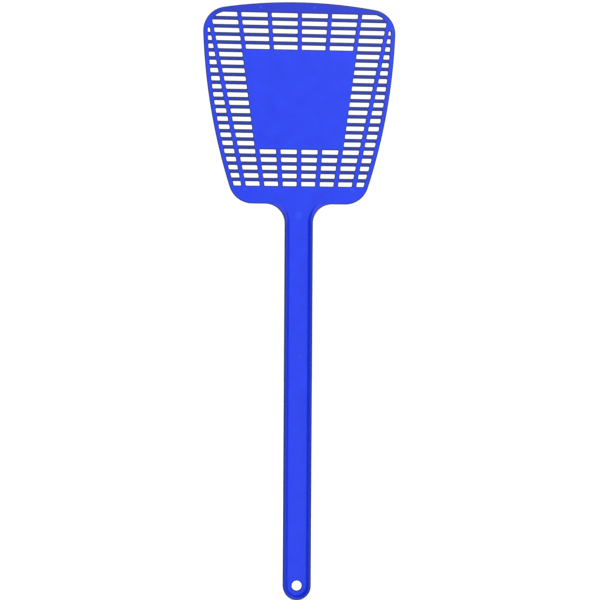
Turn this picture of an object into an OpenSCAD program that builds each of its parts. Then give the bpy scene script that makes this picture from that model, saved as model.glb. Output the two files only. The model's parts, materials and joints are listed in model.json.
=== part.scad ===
// Large fly swatter: one injection moulding of flexible plastic, drawn as the regions it is made of.
// X is across the blade, Y is through its thickness with the front at -Y, and Z runs up the handle to the tip.
// The origin is the middle of the grip, on the handle's axis and on the mid plane of the sheet.

/* [Overall] */
// Length from the handle's end to the tip of the blade
total_length = 610; // [480:1:740]
// Greatest width of the blade
blade_width = 197; // [180:1:240]
// Height of the blade from its heel edge to its tip
blade_height = 206; // [198:1:250]
// Thickness of the frame, ribs, strike panel and handle web
sheet_t = 2.4; // [1.9:0.1:3.2]

/* [Blade outline] */
// Radius of the curved tip edge
crown_r = 485; // [400:5:600]
// Radius of the two corners beside the tip
tip_corner_r = 25; // [18:0.5:32]
// Radius of the bowed sides
side_r = 590; // [480:5:720]
// Lean of the sides where they leave the tip corners, in degrees
side_lean = 2.2; // [1:0.1:4]
// Radius of the two corners beside the heel edge
heel_corner_r = 24.5; // [18:0.5:30]
// Width of the frame down each side
rail_width = 4.7; // [3.8:0.1:5.6]

/* [Grille] */
// Distance from the tip down to the middle of the first row of slots
first_row = 13.4; // [12:0.1:16]
// Distance between rows of slots
row_pitch = 8.2; // [6.9:0.05:8.2]
// Height of a slot
slot_height = 4.3; // [3.4:0.1:5.2]
// Thickness of the slats between the slots
slat_t = 1.8; // [1.4:0.1:2.2]
// How far inside the blade's widest line the outer ribs aim, at the level of the tip
outer_rib_inset = 2.95; // [1.5:0.05:5]
// Depth below the tip of the point that all the ribs aim at
rib_focus = 460; // [400:5:560]
// Width of a rib at the level of the tip
rib_width_tip = 4.3; // [3.5:0.1:5.2]
// Width of a rib at the bottom of the grille
rib_width_heel = 4.9; // [4:0.1:5.9]

/* [Handle] */
// Width of the handle
handle_width = 28.6; // [24:0.2:34]
// Depth of the handle through its rims
handle_depth = 9; // [7:0.2:11]
// Width of the flat top of each rim
rim_top = 2.6; // [2:0.1:3.2]
// Width of the sloping inner wall of each rim, seen from the front
rim_slope = 2.2; // [1.6:0.1:2.8]
// Radius of the fillets between the handle and the blade
neck_r = 20; // [16:0.5:24]
// Bore of the hanging hole
hang_bore = 10; // [8:0.5:12]
// Length of the flat end panel that holds the hanging hole
eye_length = 32; // [25:1:40]
// Distance from the handle's end to the middle of the grip
grip_height = 80; // [60:1:100]

/* [Hidden] */
$fn = 64;
rows = 22;
rows_above_panel = 5;
rows_below_panel = 5;
outer_rib = 3;
panel_rib = 2;
first_slit_row = 3;
arc_step = 5;
cut = 1;

plastic = "#3650f2";
plastic_shade = "#2b3fc8";

end_z = -grip_height;
tip_z = end_z + total_length;
heel_z = tip_z - blade_height;
neck_z = heel_z - neck_r;
eye_z = end_z + handle_width / 2;
web_z = end_z + eye_length;
rim_width = rim_top + rim_slope;
web_half = handle_width / 2 - rim_width;
rib_spacing = (blade_width / 2 - outer_rib_inset) / outer_rib;
neck_x = handle_width / 2 + neck_r;
far = blade_width;

// Each arc of the outline keeps its centre when the outline is drawn inset.
corner_x = blade_width / 2 - tip_corner_r;
crown_z = tip_z - crown_r;
corner_z = crown_z + sqrt(pow(crown_r - tip_corner_r, 2) - pow(corner_x, 2));
side_x = corner_x - (side_r - tip_corner_r) * cos(side_lean);
side_z = corner_z + (side_r - tip_corner_r) * sin(side_lean);
heel_corner_z = heel_z + heel_corner_r;
heel_corner_x = side_x + sqrt(pow(side_r - heel_corner_r, 2) - pow(heel_corner_z - side_z, 2));
crown_angle = atan2(corner_z - crown_z, corner_x);
heel_angle = atan2(heel_corner_z - side_z, heel_corner_x - side_x);

rib_numbers = [for (k = [-panel_rib:panel_rib]) k];
sides = ["left", "right"];

function row_z(i) = tip_z - first_row - (i - 1) * row_pitch;
function slot_top(i) = row_z(i) + slot_height / 2;
function slot_bottom(i) = row_z(i) - slot_height / 2;

grille_top = slot_top(1);
grille_bottom = slot_bottom(rows);
panel_top = slot_bottom(rows_above_panel);
panel_bottom = slot_top(rows - rows_below_panel + 1);

function rib_x(k, z) = k * rib_spacing * (1 - (tip_z - z) / rib_focus);
function rib_share(z) = (tip_z - z) / (tip_z - grille_bottom);
function rib_half(z) = (rib_width_tip + (rib_width_heel - rib_width_tip) * rib_share(z)) / 2;
function rib_left(k, z) = rib_x(k, z) - rib_half(z);
function rib_right(k, z) = rib_x(k, z) + rib_half(z);

function arc(x, z, r, from, to) =
    let (steps = max(1, ceil(abs(to - from) / arc_step)))
    [for (i = [0:steps]) let (a = from + (to - from) * i / steps) [x + r * cos(a), z + r * sin(a)]];

// The right half of the blade's outline from the tip's middle round to the heel, drawn inset by d.
function half_outline(d) = concat(
    arc(0, crown_z, crown_r - d, 90, crown_angle),
    arc(corner_x, corner_z, tip_corner_r - d, crown_angle, 0),
    arc(side_x, side_z, side_r - d, -side_lean, heel_angle),
    arc(heel_corner_x, heel_corner_z, heel_corner_r - d, heel_angle, -90)
);

module outline(d) {
    right = half_outline(d);
    left = [for (i = [len(right) - 1:-1:1]) [-right[i][0], right[i][1]]];
    polygon(concat(right, left));
}

// Stands a drawing in X and Z up as a sheet of thickness t, centred on the mid plane.
module sheet(t) {
    rotate([90, 0, 0]) linear_extrude(height = t, center = true) children();
}

module level_band(z0, z1) {
    translate([-far, z0]) square([2 * far, z1 - z0]);
}

module mirrored(side) {
    mirror([side == "left" ? 1 : 0, 0, 0]) children();
}

// ---- Blade ----

module tip_band() {
    color(plastic) sheet(sheet_t) intersection() {
        outline(0);
        level_band(grille_top, tip_z + cut);
    }
}

module heel_band() {
    color(plastic) sheet(sheet_t) intersection() {
        outline(0);
        level_band(heel_z, grille_bottom);
    }
}

module side_rail(side) {
    color(plastic) mirrored(side) sheet(sheet_t) difference() {
        intersection() {
            outline(0);
            translate([0, grille_bottom]) square([far, grille_top - grille_bottom]);
        }
        outline(rail_width);
    }
}

module strike_panel() {
    color(plastic) sheet(sheet_t) polygon([
        [rib_left(-panel_rib, panel_top), panel_top],
        [rib_right(panel_rib, panel_top), panel_top],
        [rib_right(panel_rib, panel_bottom), panel_bottom],
        [rib_left(-panel_rib, panel_bottom), panel_bottom]
    ]);
}

module rib(k, z0, z1) {
    color(plastic) sheet(sheet_t) polygon([
        [rib_left(k, z0), z0],
        [rib_right(k, z0), z0],
        [rib_right(k, z1), z1],
        [rib_left(k, z1), z1]
    ]);
}

// Above the first slit this rib has merged with the side rail, so its drawing widens outwards there.
module outer_rib(side) {
    merge_z = slot_top(first_slit_row);
    color(plastic) mirrored(side) sheet(sheet_t) intersection() {
        outline(rail_width);
        polygon([
            [rib_left(outer_rib, grille_bottom), grille_bottom],
            [rib_right(outer_rib, grille_bottom), grille_bottom],
            [rib_right(outer_rib, merge_z), merge_z],
            [far, merge_z],
            [far, grille_top],
            [rib_left(outer_rib, grille_top), grille_top]
        ]);
    }
}

// One slat below each slot row from first to last, in the column to the right of rib k.
module slat_column(k, first, last, outer_x) {
    for (i = [first:last]) {
        z1 = slot_bottom(i);
        z0 = slot_top(i + 1);
        polygon([
            [rib_right(k, z0), z0],
            [outer_x == 0 ? rib_left(k + 1, z0) : outer_x, z0],
            [outer_x == 0 ? rib_left(k + 1, z1) : outer_x, z1],
            [rib_right(k, z1), z1]
        ]);
    }
}

module middle_slats(first, last) {
    color(plastic_shade) sheet(slat_t)
        for (k = [-panel_rib:panel_rib - 1]) slat_column(k, first, last, 0);
}

module side_slats(side) {
    color(plastic_shade) mirrored(side) sheet(slat_t) intersection() {
        outline(rail_width);
        slat_column(panel_rib, 1, rows - 1, 0);
    }
}

module edge_slats(side) {
    color(plastic_shade) mirrored(side) sheet(slat_t) intersection() {
        outline(rail_width);
        slat_column(outer_rib, first_slit_row, rows - 1, far);
    }
}

// ---- Neck ----

// Half of the neck rim's section, drawn from the fillet's centre outwards.
module neck_rim_section() {
    polygon([
        [neck_r, -handle_depth / 2],
        [neck_r + rim_top, -handle_depth / 2],
        [neck_r + rim_width, -sheet_t / 2],
        [neck_r + rim_width, sheet_t / 2],
        [neck_r + rim_top, handle_depth / 2],
        [neck_r, handle_depth / 2]
    ]);
}

module neck_web() {
    color(plastic) sheet(sheet_t) difference() {
        translate([-neck_x, neck_z]) square([2 * neck_x, neck_r]);
        for (x = [-neck_x, neck_x]) translate([x, neck_z]) circle(r = neck_r + rim_width);
    }
}

// The rim follows the fillet outwards and sinks to the level of the sheet at the heel edge.
module neck_rim(side) {
    color(plastic) mirrored(side) intersection() {
        translate([neck_x, 0, neck_z]) rotate([90, 0, 0]) rotate([0, 0, 90])
            rotate_extrude(angle = 90) neck_rim_section();
        rotate([90, 0, 90]) linear_extrude(height = neck_x) polygon([
            [-handle_depth / 2, neck_z],
            [handle_depth / 2, neck_z],
            [sheet_t / 2, heel_z],
            [-sheet_t / 2, heel_z]
        ]);
    }
}

// ---- Handle ----

module handle_web() {
    color(plastic) sheet(sheet_t) translate([-web_half, web_z])
        square([2 * web_half, neck_z - web_z]);
}

module hang_eye() {
    color(plastic) difference() {
        union() {
            translate([0, 0, eye_z]) rotate([90, 0, 0])
                cylinder(r = web_half, h = sheet_t, center = true);
            sheet(sheet_t) translate([-web_half, eye_z]) square([2 * web_half, web_z - eye_z]);
        }
        translate([0, 0, eye_z]) rotate([90, 0, 0])
            cylinder(d = hang_bore, h = sheet_t + 2 * cut, center = true);
    }
}

// Section of a handle rim, drawn from the handle's axis outwards.
module rim_section() {
    polygon([
        [web_half, -sheet_t / 2],
        [web_half + rim_slope, -handle_depth / 2],
        [handle_width / 2, -handle_depth / 2],
        [handle_width / 2, handle_depth / 2],
        [web_half + rim_slope, handle_depth / 2],
        [web_half, sheet_t / 2]
    ]);
}

module end_rim() {
    color(plastic) translate([0, 0, eye_z]) rotate([90, 0, 0]) rotate([0, 0, 180])
        rotate_extrude(angle = 180) rim_section();
}

module handle_rim(side) {
    color(plastic) mirrored(side) translate([0, 0, eye_z])
        linear_extrude(height = neck_z - eye_z) rim_section();
}

tip_band();
heel_band();
strike_panel();
for (n = [1:len(rib_numbers)]) {
    k = rib_numbers[n - 1];
    rib(k, panel_top, grille_top);
    rib(k, grille_bottom, panel_bottom);
}
middle_slats(1, rows_above_panel - 1);  // slats_upper
middle_slats(rows - rows_below_panel + 1, rows - 1);  // slats_lower
for (s = sides) {
    side_rail(s);
    outer_rib(s);
    side_slats(s);
    edge_slats(s);
    neck_rim(s);
    handle_rim(s);
}
neck_web();
handle_web();
hang_eye();
end_rim();
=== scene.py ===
import json
import math

import bpy
import numpy as np
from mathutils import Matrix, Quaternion, Vector
from mathutils.geometry import delaunay_2d_cdt


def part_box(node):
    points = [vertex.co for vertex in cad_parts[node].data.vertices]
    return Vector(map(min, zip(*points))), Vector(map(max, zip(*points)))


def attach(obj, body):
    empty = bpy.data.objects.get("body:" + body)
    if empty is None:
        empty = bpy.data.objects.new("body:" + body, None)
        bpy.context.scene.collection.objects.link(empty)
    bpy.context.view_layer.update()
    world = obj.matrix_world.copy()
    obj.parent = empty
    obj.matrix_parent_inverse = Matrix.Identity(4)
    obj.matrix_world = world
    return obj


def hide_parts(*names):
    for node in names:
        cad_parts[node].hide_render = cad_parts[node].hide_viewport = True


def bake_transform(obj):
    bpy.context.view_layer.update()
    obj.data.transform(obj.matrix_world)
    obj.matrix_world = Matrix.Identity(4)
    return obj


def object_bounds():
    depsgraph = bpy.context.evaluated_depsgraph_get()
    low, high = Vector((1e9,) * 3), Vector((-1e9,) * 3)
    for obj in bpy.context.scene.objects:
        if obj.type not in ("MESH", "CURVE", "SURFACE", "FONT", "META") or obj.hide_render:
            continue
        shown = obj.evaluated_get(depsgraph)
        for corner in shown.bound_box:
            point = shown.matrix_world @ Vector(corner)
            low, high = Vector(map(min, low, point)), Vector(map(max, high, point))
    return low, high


# A fly swatter moulded in one piece. Its planform is drawn once in X and Z, cut into triangles, and each
# region of it becomes a closed piece whose front and back follow one height function. Lengths are in mm
# until a mesh is made, and in metres after that.

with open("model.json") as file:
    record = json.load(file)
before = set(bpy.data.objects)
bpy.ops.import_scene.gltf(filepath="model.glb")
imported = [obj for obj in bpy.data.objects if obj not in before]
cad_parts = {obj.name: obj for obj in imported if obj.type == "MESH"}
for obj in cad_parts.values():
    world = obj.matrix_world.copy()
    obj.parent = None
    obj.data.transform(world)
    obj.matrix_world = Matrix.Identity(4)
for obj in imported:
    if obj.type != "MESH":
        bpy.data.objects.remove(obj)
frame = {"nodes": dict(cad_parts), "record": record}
cad_low, cad_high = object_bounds()

X, Y, Z = 0, 1, 2
MM = 1000.0


def low(node, axis):
    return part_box(node)[0][axis] * MM


def high(node, axis):
    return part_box(node)[1][axis] * MM


# ---- Places given by the frame ----

TIP_Z = high("tip_band", Z)
HEEL_Z = low("heel_band", Z)
NECK_Z = low("neck_web", Z)
EYE_Z = low("handle_rim_right", Z)
WEB_Z = low("handle_web", Z)
BLADE_HALF = high("side_rail_right", X)
HANDLE_HALF = high("handle_rim_right", X)
WEB_HALF = high("handle_web", X)
SHEET = high("strike_panel", Y)
SLAT = high("slats_upper", Y)
RIM = high("handle_rim_right", Y)
GRILLE_TOP = low("tip_band", Z)
GRILLE_BOTTOM = high("heel_band", Z)
PANEL_TOP = high("strike_panel", Z)
PANEL_BOTTOM = low("strike_panel", Z)

# ---- Sizes of the outline and the grille ----

CROWN_R = 485.0
TIP_CORNER_R = 25.0
SIDE_R = 590.0
SIDE_LEAN = 2.2
HEEL_CORNER_R = 24.5
RAIL_WIDTH = 4.7
NECK_R = HEEL_Z - NECK_Z
NECK_X = HANDLE_HALF + NECK_R

ROWS = 22
FIRST_SLIT_ROW = 3
OUTER_RIB = 3
PANEL_RIB = 2
ROWS_ABOVE_PANEL = 5
ROWS_BELOW_PANEL = 5
SLOT_HEIGHT = GRILLE_TOP - high("slats_upper", Z)
ROW_PITCH = (GRILLE_TOP - GRILLE_BOTTOM - SLOT_HEIGHT) / (ROWS - 1)
FIRST_ROW_Z = GRILLE_TOP - SLOT_HEIGHT / 2
OUTER_RIB_INSET = 2.95
RIB_FOCUS = 460.0
RIB_WIDTH_TIP = 4.3
RIB_WIDTH_HEEL = 4.9
RIB_SPACING = (BLADE_HALF - OUTER_RIB_INSET) / OUTER_RIB

RIM_WIDTH = HANDLE_HALF - WEB_HALF
RIM_TOP = 2.6
RIM_SLOPE = RIM_WIDTH - RIM_TOP
HOLE_R = 5.0

# ---- Fine detail ----

# A slot corner's radius, and the most of a side that it may take.
SLOT_CORNER = 0.8
SLOT_CORNER_SHARE = 0.42
# The ramp from rib to slat, and the radii of the rounded edges.
RAMP = 0.45
PLATE_ROUND = 0.45
SLAT_ROUND = 0.7
RIM_ROUND = 1.3
HOLE_ROUND = 0.8
# How softly the rim turns at its crest and at its foot, in height.
CREST_SOFT = 2.0
FOOT_SOFT = 0.8
# Distances from every edge at which lines of points are drawn.
EDGE_RINGS = (0.0, 0.05, 0.17, 0.38, 0.7, 0.85, 1.3)
# One more line along both rims: its distance from the edge at the handle, and at the heel.
RIM_EDGE_RINGS = ((1.08, 0.9),)
# Lines along the rim's crest and foot, as shares of how far the soft turn there reaches.
SOFT_RINGS = (-1.0, -0.75, -0.5, -0.25, 0.0, 0.25, 0.5, 0.75, 1.0)
# The painted shade: how far and how fast the edges' painted shade fades, its share on walls, the
# strength of the crown's darker tint and how far that one fades.
EDGE_FADE = 0.92
EDGE_SHADE_POWER = 0.55
EDGE_SHADE_ON_WALLS = 0.4
CROWN_TINT = 0.85
CROWN_FADE = 8.0
# How deep the mould's round marks are, and how wide the slope round each one is.
MARK_DEPTH = 0.1
MARK_BEVEL = 0.2
# A triangle within FLAT is level. Points that round to the same place at WELD_DIGITS decimals are one.
FLAT = 0.0005
WELD_DIGITS = 4
CUT_TOLERANCE = 1e-4
# Turn of one step round a slot's corner and slack at the ends of an arc, in degrees.
CORNER_STEP = 18
ARC_SLACK = 0.01
# How far past a slot's last ring its distance is still worked out, and how far a ramp line outruns a slat.
REACH_MARGIN = 0.5
RAMP_OVERRUN = 0.5
# The neck's levels crowd together just under the heel. Lines across the neck start at this one, counted
# down from the heel's own level, which is 0.
FIRST_NECK_LEVEL = 6
# A distance that stands for no edge nearby, and the least values that are safe to divide by.
FAR = 1e3
LEAST_TURN = 1e-3
LEAST_REACH = 1e-6
LEAST_LENGTH = 1e-9

CROWN_Z = TIP_Z - CROWN_R
CORNER_X = BLADE_HALF - TIP_CORNER_R
CORNER_Z = CROWN_Z + math.sqrt((CROWN_R - TIP_CORNER_R) ** 2 - CORNER_X**2)
SIDE_X = CORNER_X - (SIDE_R - TIP_CORNER_R) * math.cos(math.radians(SIDE_LEAN))
SIDE_Z = CORNER_Z + (SIDE_R - TIP_CORNER_R) * math.sin(math.radians(SIDE_LEAN))
HEEL_CORNER_Z = HEEL_Z + HEEL_CORNER_R
HEEL_CORNER_X = SIDE_X + math.sqrt((SIDE_R - HEEL_CORNER_R) ** 2 - (HEEL_CORNER_Z - SIDE_Z) ** 2)
CROWN_ANGLE = math.degrees(math.atan2(CORNER_Z - CROWN_Z, CORNER_X))
HEEL_ANGLE = math.degrees(math.atan2(HEEL_CORNER_Z - SIDE_Z, HEEL_CORNER_X - SIDE_X))

NECK_ANGLES = np.linspace(90, 180, 25)
NECK_LEVELS = NECK_Z + NECK_R * np.sin(np.radians(NECK_ANGLES))

# Round marks left by the mould on the front: X, Z and radius.
MARKS = (
    (-40.0, TIP_Z - 6.2, 1.5),
    (15.0, TIP_Z - 5.4, 1.5),
    (0.0, FIRST_ROW_Z - 0.5 * ROW_PITCH, 1.5),
    (95.2, TIP_Z - 25.4, 1.6),
    (-RIB_SPACING * 2.085, FIRST_ROW_Z - 15.5 * ROW_PITCH, 1.5),
    (RIB_SPACING * 2.085, FIRST_ROW_Z - 15.5 * ROW_PITCH, 1.5),
    (0.0, FIRST_ROW_Z - 20.5 * ROW_PITCH, 1.5),
    (-55.0, GRILLE_BOTTOM - 3.4, 2.3),
    (55.0, GRILLE_BOTTOM - 3.4, 2.3),
    (0.0, NECK_Z + 8.6, 4.2),
    (1.5, 168.0, 1.7),
)


# ---- Lines of the planform ----


def row_z(i):
    return FIRST_ROW_Z - (i - 1) * ROW_PITCH


def slot_top(i):
    return row_z(i) + SLOT_HEIGHT / 2


def slot_bottom(i):
    return row_z(i) - SLOT_HEIGHT / 2


def rib_x(k, z):
    return k * RIB_SPACING * (1 - (TIP_Z - z) / RIB_FOCUS)


def rib_half(z):
    share = (TIP_Z - z) / (TIP_Z - GRILLE_BOTTOM)
    return (RIB_WIDTH_TIP + (RIB_WIDTH_HEEL - RIB_WIDTH_TIP) * share) / 2


def rib_left(k, z):
    return rib_x(k, z) - rib_half(z)


def rib_right(k, z):
    return rib_x(k, z) + rib_half(z)


def frame_x(z, inset):
    """Half the blade's width at this height, along the outline drawn inset."""
    z = np.asarray(z, float)
    corner = TIP_CORNER_R - inset
    side = SIDE_R - inset
    heel = HEEL_CORNER_R - inset
    at_corner = CORNER_X + np.sqrt(np.clip(corner**2 - (z - CORNER_Z) ** 2, 0, None))
    at_side = SIDE_X + np.sqrt(np.clip(side**2 - (z - SIDE_Z) ** 2, 0, None))
    at_heel = HEEL_CORNER_X + np.sqrt(np.clip(heel**2 - (z - HEEL_CORNER_Z) ** 2, 0, None))
    corner_end = CORNER_Z - corner * math.sin(math.radians(SIDE_LEAN))
    side_end = SIDE_Z + side * math.sin(math.radians(HEEL_ANGLE))
    return np.where(z > corner_end, at_corner, np.where(z > side_end, at_side, at_heel))


def inner_x(z):
    return frame_x(z, RAIL_WIDTH)


def arc(x, z, r, start, end, steps):
    angles = np.radians(np.linspace(start, end, steps + 1))
    return np.column_stack([x + r * np.cos(angles), z + r * np.sin(angles)])


def mirrored(points):
    return points[::-1] * np.array([-1.0, 1.0])


def both_halves(right):
    """Joins a right half that starts and ends on the axis with its mirror image, as a closed loop."""
    return np.vstack([right, mirrored(right)[1:-1]])


def outline(inset):
    """The whole edge of the moulding, drawn inset, from the tip round to the handle's end and back."""
    return both_halves(
        np.vstack(
            [
                arc(0, CROWN_Z, CROWN_R - inset, 90, CROWN_ANGLE, 16),
                arc(CORNER_X, CORNER_Z, TIP_CORNER_R - inset, CROWN_ANGLE, -SIDE_LEAN, 26)[1:],
                arc(SIDE_X, SIDE_Z, SIDE_R - inset, -SIDE_LEAN, HEEL_ANGLE, 32)[1:],
                arc(HEEL_CORNER_X, HEEL_CORNER_Z, HEEL_CORNER_R - inset, HEEL_ANGLE, -90, 22)[1:],
                neck_edge(inset),
                arc(0, EYE_Z, HANDLE_HALF - inset, 0, -90, 20),
            ]
        )
    )


def neck_edge(inset):
    """The right fillet between blade and handle, from the blade down."""
    return arc(NECK_X, NECK_Z, NECK_R + inset, NECK_ANGLES[0], NECK_ANGLES[-1], len(NECK_ANGLES) - 1)


def neck_share(z):
    """1 along the handle, falling to 0 at the heel edge of the blade."""
    return np.clip((HEEL_Z - z) / NECK_R, 0, 1)


def rim_line(inset_at_handle, inset_at_heel):
    """A line along both rims and round the end; its inset changes evenly along the neck."""
    z = NECK_LEVELS
    inset = inset_at_heel + (inset_at_handle - inset_at_heel) * neck_share(z)
    x = NECK_X - np.sqrt((NECK_R + inset) ** 2 - (z - NECK_Z) ** 2)
    end = arc(0, EYE_Z, HANDLE_HALF - inset_at_handle, 0, -90, 20)
    right = np.vstack([np.column_stack([x, z]), end])
    return np.vstack([right, mirrored(right)[1:]])


# ---- Slots ----


class Slot:
    """One slot of the grille: a convex polygon with rounded corners, given by its two sides.

    Each side runs from the bottom up.
    """

    def __init__(self, left, right):
        self.left = np.array(left)
        self.right = np.array(right)
        corners = np.vstack([self.left[:1], self.right, self.left[:0:-1]])
        ahead = np.roll(corners, -1, axis=0) - corners
        ahead /= np.linalg.norm(ahead, axis=1)[:, None]
        self.inward = np.column_stack([-ahead[:, 1], ahead[:, 0]])
        before = np.roll(self.inward, 1, axis=0)
        spread = 1 + np.sum(before * self.inward, axis=1)
        self.radius = self.corner_radius(corners, spread)
        self.core = corners + self.radius * (before + self.inward) / spread[:, None]

    def corner_radius(self, corners, spread):
        """The corner radius, smaller where a side is too short for it."""
        sides = np.linalg.norm(np.roll(corners, -1, axis=0) - corners, axis=1)
        shorter = np.minimum(sides, np.roll(sides, 1))
        half_turn = np.arccos(np.clip(spread - 1, -1, 1)) / 2
        limits = SLOT_CORNER_SHARE * shorter / np.tan(np.maximum(half_turn, LEAST_TURN))
        return min(SLOT_CORNER, limits.min())

    def ring(self, gap):
        """The slot's edge, or a line at this gap outside it."""
        reach = self.radius + gap
        points = []
        for n, centre in enumerate(self.core):
            start = math.atan2(-self.inward[n - 1][1], -self.inward[n - 1][0])
            turn = (math.atan2(-self.inward[n][1], -self.inward[n][0]) - start + 1) % math.tau - 1
            steps = math.ceil(math.degrees(turn) / CORNER_STEP)
            if steps < 2:
                middle = start + turn / 2
                reach_out = reach / math.cos(turn / 2)
                points.append(centre + reach_out * np.array([math.cos(middle), math.sin(middle)]))
                continue
            for angle in np.linspace(start, start + turn, steps + 1):
                points.append(centre + reach * np.array([math.cos(angle), math.sin(angle)]))
        return np.array(points)

    def corner_guides(self):
        """Short lines from each square corner to where its arc leaves the slot's left or right side."""
        last = len(self.right)
        square = (self.left[0], self.right[0], self.right[-1], self.left[-1])
        guides = []
        for corner, n, side in zip(square, (0, 1, last, last + 1), (-1, 1, last - 1, last + 1)):
            side = side % len(self.core)
            guides.append((corner, self.core[n] - self.inward[side] * self.radius))
        return guides

    def gap(self, p):
        """How far outside the slot's edge each point lies; below 0 in the slot."""
        along = np.roll(self.core, -1, axis=0) - self.core
        offset = p[:, None, :] - self.core[None, :, :]
        share = np.sum(offset * along, axis=2) / np.sum(along * along, axis=1)
        nearest = offset - np.clip(share, 0, 1)[:, :, None] * along
        distance = np.linalg.norm(nearest, axis=2).min(axis=1)
        in_core = np.all(np.sum(offset * self.inward, axis=2) > 0, axis=1)
        return np.where(in_core, 0, distance) - self.radius


class Column:
    """The slots between two neighbouring ribs, or between a rib and the frame."""

    def __init__(self, left_x, right_x, rows, bent_rows=()):
        self.left_x = left_x
        self.right_x = right_x
        self.rows = rows
        self.slots = {}
        for i in rows:
            z = np.linspace(slot_bottom(i), slot_top(i), 3 if i in bent_rows else 2)
            left = np.column_stack([left_x(z), z])
            right = np.column_stack([right_x(z), z])
            self.slots[i] = Slot(left, right)

    def slats(self):
        """The rows that have a slat between them and the next row."""
        return [i for i in self.rows if i + 1 in self.slots]

    def holds(self, p):
        inside = (p[:, 0] > self.left_x(p[:, 1])) & (p[:, 0] < self.right_x(p[:, 1]))
        return inside & np.isin(rows_passed(p[:, 1]), self.slats())


def rows_passed(z):
    """The last row whose middle is above each height."""
    return np.floor((FIRST_ROW_Z - z) / ROW_PITCH + 1).astype(int)


def outer_column_end(z):
    return np.minimum(rib_left(OUTER_RIB, z), inner_x(z))


def grille_columns():
    open_rows = [*range(1, ROWS_ABOVE_PANEL + 1), *range(ROWS - ROWS_BELOW_PANEL + 1, ROWS + 1)]
    columns = []
    for k in range(-PANEL_RIB, PANEL_RIB):
        left_x = lambda z, k=k: rib_right(k, z)
        right_x = lambda z, k=k: rib_left(k + 1, z)
        columns.append(Column(left_x, right_x, open_rows))
    outer = (
        (lambda z: rib_right(PANEL_RIB, z), outer_column_end, range(1, ROWS + 1)),
        (lambda z: rib_right(OUTER_RIB, z), inner_x, range(FIRST_SLIT_ROW, ROWS + 1)),
    )
    by_corners = (1, 2, 3, 4, ROWS - 2, ROWS - 1, ROWS)
    for left_x, right_x, rows in outer:
        columns.append(Column(left_x, right_x, list(rows), by_corners))
        flipped_left = lambda z, right_x=right_x: -right_x(z)
        flipped_right = lambda z, left_x=left_x: -left_x(z)
        columns.append(Column(flipped_left, flipped_right, list(rows), by_corners))
    return columns


COLUMNS = grille_columns()
SLOTS = [slot for column in COLUMNS for slot in column.slots.values()]


# ---- Height of the surface ----


def outline_gap(p):
    """How far inside the outer edge each point lies."""
    x, z = np.abs(p[:, 0]), p[:, 1]
    gap = np.full(len(p), FAR)

    def nearer(distance, where):
        gap[where] = np.minimum(gap, distance)[where]

    def nearer_arc(cx, cz, r, start, end, hollow=False):
        dx, dz = x - cx, z - cz
        angle = np.degrees(np.arctan2(dz, dx))
        distance = r - np.hypot(dx, dz)
        on_arc = (angle <= start + ARC_SLACK) & (angle >= end - ARC_SLACK)
        nearer(-distance if hollow else distance, on_arc)

    nearer_arc(0, CROWN_Z, CROWN_R, 90, CROWN_ANGLE)
    nearer_arc(CORNER_X, CORNER_Z, TIP_CORNER_R, CROWN_ANGLE, -SIDE_LEAN)
    nearer_arc(SIDE_X, SIDE_Z, SIDE_R, -SIDE_LEAN, HEEL_ANGLE)
    nearer_arc(HEEL_CORNER_X, HEEL_CORNER_Z, HEEL_CORNER_R, HEEL_ANGLE, -90)
    nearer(z - HEEL_Z, (x >= NECK_X) & (x <= HEEL_CORNER_X) & (z > NECK_Z))
    nearer_arc(NECK_X, NECK_Z, NECK_R, 180, 90, hollow=True)
    nearer(HANDLE_HALF - x, (z <= NECK_Z) & (z >= EYE_Z))
    nearer(HANDLE_HALF - np.hypot(x, z - EYE_Z), z < EYE_Z)
    return gap


def slot_gap(p):
    """How far from the nearest slot each point lies, where that is near enough to matter."""
    gap = np.full(len(p), FAR)
    reach = EDGE_RINGS[-1] + REACH_MARGIN
    for slot in SLOTS:
        lowest = slot.core.min(axis=0) - slot.radius - reach
        highest = slot.core.max(axis=0) + slot.radius + reach
        near = np.all((p > lowest) & (p < highest), axis=1)
        if near.any():
            gap[near] = np.minimum(gap[near], slot.gap(p[near]))
    return gap


def hole_gap(p):
    return np.hypot(p[:, 0], p[:, 1] - EYE_Z) - HOLE_R


def slat_share(p):
    """0 on the frame, ribs and panel, rising over a short ramp to 1 on the slats."""
    share = np.zeros(len(p))
    for column in COLUMNS:
        inside = column.holds(p)
        x, z = p[inside, 0], p[inside, 1]
        in_from_rib = np.minimum(x - column.left_x(z), column.right_x(z) - x)
        t = np.clip(in_from_rib / RAMP, 0, 1)
        share[inside] = t * t * (3 - 2 * t)
    return share


def soft_min(a, b, reach):
    overlap = np.clip(reach - np.abs(a - b), 0, None) / reach
    return np.minimum(a, b) - overlap**2 * reach / 4


def soft_max(a, b, reach):
    return -soft_min(-a, -b, reach)


def rim_height(gap, z):
    """How far the rim stands above the web. Along the neck it sinks to the level of the blade."""
    share = neck_share(z)
    full = RIM - SHEET
    inner_wall = (RIM_WIDTH - gap) * full / RIM_SLOPE
    crest = soft_min(inner_wall, full * share, CREST_SOFT * share + LEAST_REACH)
    return np.where(share > 0, soft_max(crest, 0, FOOT_SOFT * share + LEAST_REACH), 0)


def edge_drop(gap, radius):
    """How far a rounded edge falls below the flat beside it."""
    inside = np.clip(radius - gap, 0, radius)
    return radius - np.sqrt(radius**2 - inside**2)


def mark_share(p):
    """1 in the round marks left by the mould, 0 elsewhere."""
    share = np.zeros(len(p))
    for x, z, r in MARKS:
        distance = np.hypot(p[:, 0] - x, p[:, 1] - z)
        share = np.maximum(share, np.clip((r - distance) / MARK_BEVEL, 0, 1))
    return share


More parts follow.
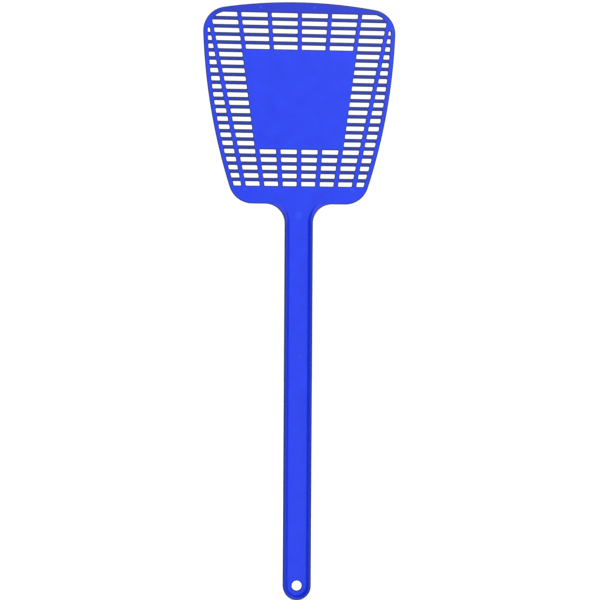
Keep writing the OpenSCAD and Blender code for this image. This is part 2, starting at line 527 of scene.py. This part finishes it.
def height(p, on_edge=None):
    """Height of the back surface above the mid plane; the front is its mirror image, less the marks."""
    gaps = [outline_gap(p), slot_gap(p), hole_gap(p)]
    if on_edge is not None:
        nearest = np.argmin(gaps, axis=0)
        gaps = [np.where(on_edge & (nearest == n), 0, gap) for n, gap in enumerate(gaps)]
    slat = slat_share(p)
    outer_round = PLATE_ROUND + (RIM_ROUND - PLATE_ROUND) * neck_share(p[:, 1])
    rounds = [outer_round, PLATE_ROUND + (SLAT_ROUND - PLATE_ROUND) * slat, HOLE_ROUND]
    level = SHEET - (SHEET - SLAT) * slat + rim_height(gaps[0], p[:, 1])
    return level - sum(edge_drop(gap, r) for gap, r in zip(gaps, rounds))


def slope(function, p, step=0.001):
    """The gradient of a function of the planform, by central differences."""
    parts = []
    for shift in (np.array([step, 0.0]), np.array([0.0, step])):
        parts.append((function(p + shift) - function(p - shift)) / (2 * step))
    return np.column_stack(parts)


def nearest_gap(p):
    return np.minimum(np.minimum(outline_gap(p), slot_gap(p)), hole_gap(p))


# ---- Regions ----


def region_names(p):
    """The CAD node that each point of the planform belongs to."""
    x, z = np.abs(p[:, 0]), p[:, 1]
    side = np.where(p[:, 0] < 0, "left", "right")
    row = rows_passed(z)
    names = np.full(len(p), "handle_web", dtype="<U16")

    def claim(name, where):
        names[where] = name if isinstance(name, str) else name[where]

    def sided(name):
        return np.char.add(name, side)

    blade = z > HEEL_Z
    grille = (z > GRILLE_BOTTOM) & (z < GRILLE_TOP)
    between_bands = grille & (row > 0) & (row < ROWS)
    neck = (z > NECK_Z) & ~blade
    claim("hang_eye", z < WEB_Z)
    claim(sided("handle_rim_"), (x > WEB_HALF) & (z > EYE_Z) & (z < NECK_Z))
    claim("end_rim", (np.hypot(x, z - EYE_Z) > WEB_HALF) & (z < EYE_Z))
    claim("neck_web", neck)
    claim(sided("neck_rim_"), neck & (outline_gap(p) < RIM_WIDTH))
    claim("heel_band", blade)
    claim("tip_band", (z > GRILLE_TOP) | (grille & (row == 0)))
    panel_row = (row >= ROWS_ABOVE_PANEL) & (row <= ROWS - ROWS_BELOW_PANEL)
    claim("slats_upper", between_bands & (row < ROWS_ABOVE_PANEL))
    claim("slats_lower", between_bands & (row > ROWS - ROWS_BELOW_PANEL))
    claim("strike_panel", between_bands & panel_row)
    for n, k in enumerate(range(-PANEL_RIB, PANEL_RIB + 1), 1):
        on_rib = (p[:, 0] > rib_left(k, z)) & (p[:, 0] < rib_right(k, z))
        claim(f"upper_rib_{n}", on_rib & (z > PANEL_TOP) & (z < GRILLE_TOP))
        claim(f"lower_rib_{n}", on_rib & (z < PANEL_BOTTOM) & (z > GRILLE_BOTTOM))
    claim(sided("slats_"), between_bands & (x > rib_right(PANEL_RIB, z)))
    past_rib = grille & (x > rib_left(OUTER_RIB, z))
    slit = (x > rib_right(OUTER_RIB, z)) & (z < slot_top(FIRST_SLIT_ROW))
    claim(sided("outer_rib_"), past_rib & ~slit)
    claim(sided("edge_slats_"), past_rib & slit & (row >= FIRST_SLIT_ROW) & (row < ROWS))
    claim(sided("outer_rib_"), past_rib & slit & (row < FIRST_SLIT_ROW))
    claim("heel_band", past_rib & slit & (row == ROWS))
    claim(sided("side_rail_"), grille & (x > inner_x(z)))
    return names


# ---- The planform as triangles ----


def welded(points, triangles):
    """The same triangles with points that coincide made one, and without the triangles that vanish."""
    places, number = np.unique(np.round(points, WELD_DIGITS), axis=0, return_inverse=True)
    triangles = number.reshape(-1)[triangles]
    kept = (triangles != np.roll(triangles, 1, axis=1)).all(axis=1)
    return places, triangles[kept]


class Drawing:
    """Points and lines, to be cut into triangles that follow every line."""

    def __init__(self):
        self.points = []
        self.lines = []

    def add(self, points, closed=False):
        start = len(self.points)
        numbers = list(range(start, start + len(points)))
        self.points += [Vector((float(x), float(z))) for x, z in points]
        self.lines += list(zip(numbers, numbers[1:]))
        if closed:
            self.lines.append((numbers[-1], numbers[0]))

    def triangles(self):
        """The points and the triangles that lie in the material, with none across an opening."""
        made = delaunay_2d_cdt(self.points, self.lines, [], 0, CUT_TOLERANCE, False)
        points, triangles = welded(np.array([tuple(p) for p in made[0]]), np.array(made[2]))
        return points, triangles[nearest_gap(points[triangles].mean(axis=1)) > 0]


def draw_rings(drawing):
    """The edges of the material and the lines beside them that shape the rounding."""
    for gap in EDGE_RINGS:
        drawing.add(outline(gap), closed=True)
        drawing.add(arc(0, EYE_Z, HOLE_R + gap, 0, 360, 48)[:-1], closed=True)
        for slot in SLOTS:
            drawing.add(slot.ring(gap), closed=True)
    for at_handle, at_heel in RIM_EDGE_RINGS:
        drawing.add(rim_line(at_handle, at_heel))
    steepness = (RIM - SHEET) / RIM_SLOPE
    for step in SOFT_RINGS:
        drawing.add(rim_line(RIM_TOP + step * CREST_SOFT / steepness, RIM_WIDTH))
        drawing.add(rim_line(RIM_WIDTH + step * FOOT_SOFT / steepness, RIM_WIDTH))
    for x, z, r in MARKS:
        drawing.add(arc(x, z, r, 0, 360, 32)[:-1], closed=True)
        drawing.add(arc(x, z, r - MARK_BEVEL, 0, 360, 32)[:-1], closed=True)


def draw_slats(drawing):
    """The lines where slats meet ribs, and the ramps just inside them."""
    for column in COLUMNS:
        for slot in column.slots.values():
            for guide in slot.corner_guides():
                drawing.add(guide)
        for i in column.slats():
            z = np.linspace(slot_bottom(i), slot_top(i + 1), 4)
            drawing.add(np.column_stack([column.left_x(z), z]))
            drawing.add(np.column_stack([column.right_x(z), z]))
            z = np.linspace(slot_bottom(i) + RAMP_OVERRUN, slot_top(i + 1) - RAMP_OVERRUN, 3)
            for step in (RAMP / 2, RAMP):
                drawing.add(np.column_stack([column.left_x(z) + step, z]))
                drawing.add(np.column_stack([column.right_x(z) - step, z]))


def draw_level(drawing, z, x_ends):
    for start, end in x_ends:
        drawing.add([(start, z), (end, z)])
        drawing.add([(-start, z), (-end, z)])


def draw_region_lines(drawing):
    """The lines across the material between one region and the next."""
    top, bottom = GRILLE_TOP, GRILLE_BOTTOM
    for k in range(-PANEL_RIB, PANEL_RIB + 1):
        for z in (top, PANEL_TOP, PANEL_BOTTOM, bottom):
            drawing.add([(rib_left(k, z), z), (rib_right(k, z), z)])
    draw_level(drawing, top, [(inner_x(top), frame_x(top, 0))])
    draw_level(drawing, bottom, [(inner_x(bottom), frame_x(bottom, 0))])
    draw_level(drawing, bottom, [(rib_left(OUTER_RIB, bottom), rib_right(OUTER_RIB, bottom))])
    slit_top = slot_top(FIRST_SLIT_ROW)
    z = np.linspace(top, slit_top, 21)
    z = z[rib_left(OUTER_RIB, z) < inner_x(z)]
    drawing.add(np.column_stack([inner_x(z), z]))
    drawing.add(np.column_stack([-inner_x(z), z]))
    draw_level(drawing, NECK_Z, [(0, HANDLE_HALF)])
    draw_level(drawing, EYE_Z, [(WEB_HALF, HANDLE_HALF)])
    draw_level(drawing, WEB_Z, [(0, WEB_HALF)])
    drawing.add([(-NECK_X, HEEL_Z), (NECK_X, HEEL_Z)])
    for x, z in neck_edge(0)[FIRST_NECK_LEVEL:-1]:
        drawing.add([(-x, z), (x, z)])


def draw_planform():
    drawing = Drawing()
    draw_rings(drawing)
    draw_slats(drawing)
    draw_region_lines(drawing)
    return drawing.triangles()


# ---- Meshes ----


def directed_edges(triangles):
    return {(a, b) for t in triangles.tolist() for a, b in zip(t, t[1:] + t[:1])}


def open_edges(triangles):
    """The edges that only one triangle has, each in its triangle's direction."""
    directed = directed_edges(triangles)
    return [(a, b) for a, b in sorted(directed) if (b, a) not in directed]


class Surface:
    """Where the front and back lie over every point of the planform, and which way they face there."""

    def __init__(self, points, triangles):
        self.points = points
        self.rim = set(open_edges(triangles))
        on_edge = np.zeros(len(points), bool)
        on_edge[[n for edge in self.rim for n in edge]] = True
        self.mark = mark_share(points)
        self.back = height(points, on_edge)
        self.front = self.back - MARK_DEPTH * self.mark
        outward = -slope(nearest_gap, points)
        self.outward = self.level_normals(outward)
        self.front_normals = self.normals(slope(height, points), -1)
        self.back_normals = self.front_normals * np.array([1.0, -1.0, 1.0])
        self.front_normals[on_edge] = self.outward[on_edge]
        self.back_normals[on_edge] = self.outward[on_edge]
        level = np.ptp(self.front[triangles], axis=1) < FLAT
        self.flat_triangles = set(map(tuple, triangles[level].tolist()))
        # Painted shade along every edge: darkest at the edge, fading inwards.
        self.edge = np.clip((EDGE_RINGS[-1] - nearest_gap(points)) / EDGE_FADE, 0, 1)
        # Painted shade on the slats, sunk between the ribs.
        self.slat = slat_share(points)
        # Painted shade on the rims, darkest on their crests, and the crown painted darker above the grille's
        # top.
        crown = np.clip((points[:, 1] - GRILLE_TOP) / CROWN_FADE + 1, 0, 1) * CROWN_TINT
        self.rim_shade_and_crown = np.maximum(rim_height(outline_gap(points), points[:, 1]) / (RIM - SHEET), crown)

    def level_normals(self, direction):
        length = np.maximum(np.linalg.norm(direction, axis=1), LEAST_LENGTH)
        return np.column_stack([direction[:, 0] / length, np.zeros(len(direction)), direction[:, 1] / length])

    def normals(self, gradient, facing):
        n = np.column_stack([-gradient[:, 0], np.full(len(gradient), facing), -gradient[:, 1]])
        return n / np.linalg.norm(n, axis=1)[:, None]


def wall(surface, a, b, front_a, front_b, back_a, back_b):
    """The corners and normals of one strip between front and back, on the right of the edge from a to b."""
    corners = (front_b, front_a, back_a, back_b)
    if (a, b) in surface.rim:
        normals = [surface.outward[n] for n in (b, a, a, b)]
    else:
        along = surface.points[b] - surface.points[a]
        square = np.array([along[1], 0.0, -along[0]])
        normals = [square / max(np.linalg.norm(square), LEAST_LENGTH)] * 4
    return corners, normals


def region_mesh(name, surface, triangles):
    """A closed mesh over these triangles: front, back, and a wall along every open edge."""
    used = np.unique(triangles)
    local = {n: i for i, n in enumerate(used.tolist())}
    count = len(used)
    x, z = surface.points[used, 0], surface.points[used, 1]
    front = np.column_stack([x, -surface.front[used], z])
    back = np.column_stack([x, surface.back[used], z])
    faces, normals = [], []
    for a, b, c in triangles.tolist():
        faces.append((local[a], local[b], local[c]))
        faces.append((local[c] + count, local[b] + count, local[a] + count))
        if (a, b, c) in surface.flat_triangles:
            normals += [(0.0, -1.0, 0.0)] * 3 + [(0.0, 1.0, 0.0)] * 3
            continue
        normals += [surface.front_normals[n] for n in (a, b, c)]
        normals += [surface.back_normals[n] for n in (c, b, a)]
    for a, b in open_edges(triangles):
        ia, ib = local[a], local[b]
        corners, strip = wall(surface, a, b, ia, ib, ia + count, ib + count)
        faces.append(corners)
        normals += strip
    mesh = bpy.data.meshes.new(name)
    mesh.from_pydata((np.vstack([front, back]) / MM).tolist(), [], faces)
    mesh.shade_smooth()
    mesh.normals_split_custom_set([tuple(n) for n in normals])
    corner = np.array([n for face in faces for n in face])
    on_wall = np.array([len(face) == 4 for face in faces for n in face])
    for label in ("mark", "edge", "slat", "rim_shade_and_crown"):
        values = np.tile(getattr(surface, label)[used], 2)[corner]
        # Walls take a smaller share of the edges' painted shade.
        if label == "edge":
            values = np.where(on_wall, values * EDGE_SHADE_ON_WALLS, values)
        if label == "mark":
            values = np.where(corner < count, values, 0)
        attribute = mesh.attributes.new(label, "FLOAT", "CORNER")
        attribute.data.foreach_set("value", values.astype(np.float32))
    return mesh


# ---- Material ----


def add_node(tree, kind, **settings):
    node = tree.nodes.new(kind)
    for name, value in settings.items():
        if name in node.inputs:
            node.inputs[name].default_value = value
        else:
            setattr(node, name, value)
    return node


def noise(tree, where, scale, detail=2.0, stretch=None):
    """Noise in the part's own coordinates, as one number from 0 to 1; stretch squeezes each axis."""
    if stretch:
        mapping = add_node(tree, "ShaderNodeMapping", Scale=stretch)
        tree.links.new(where, mapping.inputs["Vector"])
        where = mapping.outputs["Vector"]
    node = add_node(tree, "ShaderNodeTexNoise", Scale=scale, Detail=detail)
    tree.links.new(where, node.inputs["Vector"])
    return node.outputs["Fac"]


def spread(tree, value, low_end, high_end):
    """Maps 0..1 to low_end..high_end."""
    node = add_node(tree, "ShaderNodeMapRange")
    node.inputs["To Min"].default_value = low_end
    node.inputs["To Max"].default_value = high_end
    tree.links.new(value, node.inputs["Value"])
    return node.outputs["Result"]


def combine(tree, operation, a, b):
    node = add_node(tree, "ShaderNodeMath", operation=operation)
    for socket, value in zip(node.inputs, (a, b)):
        if isinstance(value, (int, float)):
            socket.default_value = value
        else:
            tree.links.new(value, socket)
    return node.outputs["Value"]


def mixed_colour(tree, amount, first, second):
    node = add_node(tree, "ShaderNodeMix", data_type="RGBA")
    tree.links.new(amount, node.inputs["Factor"])
    for socket, colour in ((node.inputs[6], first), (node.inputs[7], second)):
        if isinstance(colour, tuple):
            socket.default_value = colour
        else:
            tree.links.new(colour, socket)
    return node.outputs[2]


def attribute(tree, name):
    return add_node(tree, "ShaderNodeAttribute", attribute_name=name).outputs["Fac"]


BLUE = (0.003, 0.030, 0.70, 1)
BLUE_CLOUD = (0.008, 0.048, 0.84, 1)
# Painted shade for the rims, also the crown's darker tint.
BLUE_RIM_SHADE_AND_CROWN = (0.006, 0.026, 0.52, 1)
# Painted shade for the slats.
BLUE_SLAT_SHADE = (0.006, 0.030, 0.34, 1)
# Painted shade for the edges.
BLUE_EDGE_SHADE = (0.008, 0.020, 0.15, 1)
BLUE_MARK = (0.011, 0.054, 0.81, 1)


def blue_plastic():
    """Blue polypropylene. Painted shade darkens the slats, rims and edges, and the crown is painted darker.
    """
    material = bpy.data.materials.new("blue_polypropylene")
    material.use_nodes = True
    tree = material.node_tree
    shader = tree.nodes["Principled BSDF"]
    place = add_node(tree, "ShaderNodeTexCoord").outputs["Object"]

    cloud = noise(tree, place, scale=60, detail=3)
    colour = mixed_colour(tree, cloud, BLUE, BLUE_CLOUD)
    # Painted shade on the rims, and the crown's darker tint.
    colour = mixed_colour(tree, attribute(tree, "rim_shade_and_crown"), colour, BLUE_RIM_SHADE_AND_CROWN)
    # Painted shade on the slats.
    colour = mixed_colour(tree, attribute(tree, "slat"), colour, BLUE_SLAT_SHADE)
    # Painted shade along the edges.
    edge = combine(tree, "POWER", attribute(tree, "edge"), EDGE_SHADE_POWER)
    colour = mixed_colour(tree, edge, colour, BLUE_EDGE_SHADE)
    colour = mixed_colour(tree, attribute(tree, "mark"), colour, BLUE_MARK)
    tree.links.new(colour, shader.inputs["Base Color"])

    streaks = noise(tree, place, scale=300, detail=3, stretch=(8, 8, 0.35))
    patches = noise(tree, place, scale=90, detail=4)
    roughness = combine(tree, "ADD", spread(tree, streaks, -0.05, 0.05), spread(tree, patches, 0.3, 0.46))
    tree.links.new(roughness, shader.inputs["Roughness"])

    grain = noise(tree, place, scale=2600)
    waves = noise(tree, place, scale=140)
    relief = combine(tree, "ADD", combine(tree, "MULTIPLY", grain, 0.25), waves)
    bump = add_node(tree, "ShaderNodeBump", Strength=0.12, Distance=0.0006)
    tree.links.new(relief, bump.inputs["Height"])
    tree.links.new(bump.outputs["Normal"], shader.inputs["Normal"])
    shader.inputs["IOR"].default_value = 1.49
    shader.inputs["Specular IOR Level"].default_value = 0.36
    return material


# ---- The moulding ----


def build_moulding():
    points, triangles = draw_planform()
    surface = Surface(points, triangles)
    names = region_names(points[triangles].mean(axis=1))
    material = blue_plastic()
    record_bodies = frame["record"]["behaviour"]["bodies"]
    body_of = {node: body for body, nodes in record_bodies.items() for node in nodes}
    for node in sorted(frame["nodes"]):
        mesh = region_mesh("skin_" + node, surface, triangles[names == node])
        mesh.materials.append(material)
        piece = bpy.data.objects.new("skin_" + node, mesh)
        bpy.context.scene.collection.objects.link(piece)
        if node.startswith("neck_"):
            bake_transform(piece)
        else:
            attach(piece, body_of[node])
        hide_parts(node)


# ---- Studio ----

# The soft front and back light: the way to its middle, the cosine where it starts, and its strength.
FRONT_WAY = (0.26, -0.95, 0.17)
FRONT_START = 0.1
FRONT_LIGHT = 0.74
BACK_WAY = (0.1, 0.95, 0.3)
BACK_START = 0.3
BACK_LIGHT = 0.7
# The light from all round, and the background as the camera sees it.
ROOM_LIGHT = 0.10
WHITE = 1.05
# One round lamp: where it hangs, what it points at, its diameter in metres and its power in watts.
KEY_PLACE = (1.0, -2.2, 1.8)
KEY_AIM = (0, 0, 0.225)
KEY_SIZE = 1.2
KEY_POWER = 24
# The floor: how far under the part it lies, its radius, and the two colours of its faint pattern.
FLOOR_DROP = 0.0005
FLOOR_R = 4.0
PALE = (0.9, 0.9, 0.92, 1)
PALER = (0.93, 0.93, 0.94, 1)
# The camera stands in front of the part, in metres and degrees. FRAME_SPAN is the width it sees there.
CAMERA_DISTANCE = 1.5
CAMERA_YAW = -5.0
CAMERA_ROLL = 0.33
CAMERA_HEIGHT = 0.2260
CAMERA_SIDE = 0.0018
FRAME_SPAN = 0.6130


def floor_material():
    material = bpy.data.materials.new("pale_floor")
    material.use_nodes = True
    tree = material.node_tree
    shader = tree.nodes["Principled BSDF"]
    place = add_node(tree, "ShaderNodeTexCoord").outputs["Object"]
    colour = mixed_colour(tree, noise(tree, place, scale=3), PALE, PALER)
    tree.links.new(colour, shader.inputs["Base Color"])
    shader.inputs["Roughness"].default_value = 0.9
    shader.inputs["Emission Color"].default_value = (1, 1, 1, 1)
    shader.inputs["Emission Strength"].default_value = 0.75
    return material


def build_floor():
    ring = [(FLOOR_R * math.cos(a), FLOOR_R * math.sin(a), 0) for a in np.linspace(0, math.tau, 97)[:-1]]
    mesh = bpy.data.meshes.new("floor")
    mesh.from_pydata(ring, [], [tuple(range(len(ring)))])
    mesh.materials.append(floor_material())
    floor = bpy.data.objects.new("floor", mesh)
    floor.location.z = cad_low.z - FLOOR_DROP
    bpy.context.scene.collection.objects.link(floor)
    floor.visible_glossy = False


def direction_share(tree, direction, start):
    """0 to 1 as a ray turns from start (a cosine) to this direction."""
    way = add_node(tree, "ShaderNodeTexCoord").outputs["Generated"]
    dot = add_node(tree, "ShaderNodeVectorMath", operation="DOT_PRODUCT")
    tree.links.new(way, dot.inputs[0])
    dot.inputs[1].default_value = Vector(direction).normalized()
    share = add_node(tree, "ShaderNodeMapRange", interpolation_type="SMOOTHSTEP")
    share.inputs["From Min"].default_value = start
    tree.links.new(dot.outputs["Value"], share.inputs["Value"])
    return share.outputs["Result"]


def build_world():
    """A white studio. The part is lit by wide soft light from in front and behind, with dimmer sides."""
    world = bpy.data.worlds.new("studio")
    world.use_nodes = True
    bpy.context.scene.world = world
    tree = world.node_tree
    front = combine(tree, "MULTIPLY", direction_share(tree, FRONT_WAY, FRONT_START), FRONT_LIGHT)
    back = combine(tree, "MULTIPLY", direction_share(tree, BACK_WAY, BACK_START), BACK_LIGHT)
    room = combine(tree, "ADD", combine(tree, "ADD", front, back), ROOM_LIGHT)
    rays = add_node(tree, "ShaderNodeLightPath")
    seen = add_node(tree, "ShaderNodeMix")
    tree.links.new(rays.outputs["Is Camera Ray"], seen.inputs["Factor"])
    tree.links.new(room, seen.inputs[2])
    seen.inputs[3].default_value = WHITE
    background = tree.nodes["Background"]
    tree.links.new(seen.outputs[0], background.inputs["Strength"])
    background.inputs["Color"].default_value = (1, 1, 1, 1)


def add_light(name, place, aim, size, power):
    data = bpy.data.lights.new(name, "AREA")
    data.shape = "DISK"
    data.size = size
    data.energy = power
    light = bpy.data.objects.new(name, data)
    light.location = place
    light.rotation_euler = (Vector(aim) - Vector(place)).to_track_quat("-Z", "Y").to_euler()
    bpy.context.scene.collection.objects.link(light)


def build_lights():
    add_light("key", KEY_PLACE, KEY_AIM, KEY_SIZE, KEY_POWER)


def build_camera():
    yaw = math.radians(CAMERA_YAW)
    aim = Vector((CAMERA_SIDE, 0, CAMERA_HEIGHT))
    data = bpy.data.cameras.new("camera")
    camera = bpy.data.objects.new("camera", data)
    camera.location = aim + CAMERA_DISTANCE * Vector((math.sin(yaw), -math.cos(yaw), 0))
    level = (aim - camera.location).to_track_quat("-Z", "Y")
    camera.rotation_euler = (level @ Quaternion((0, 0, 1), math.radians(CAMERA_ROLL))).to_euler()
    data.sensor_width = 36
    data.lens = data.sensor_width * CAMERA_DISTANCE / FRAME_SPAN
    bpy.context.scene.collection.objects.link(camera)
    bpy.context.scene.camera = camera


build_camera()
build_world()
build_lights()
build_floor()
build_moulding()
bpy.context.scene.view_settings.view_transform = "Standard"
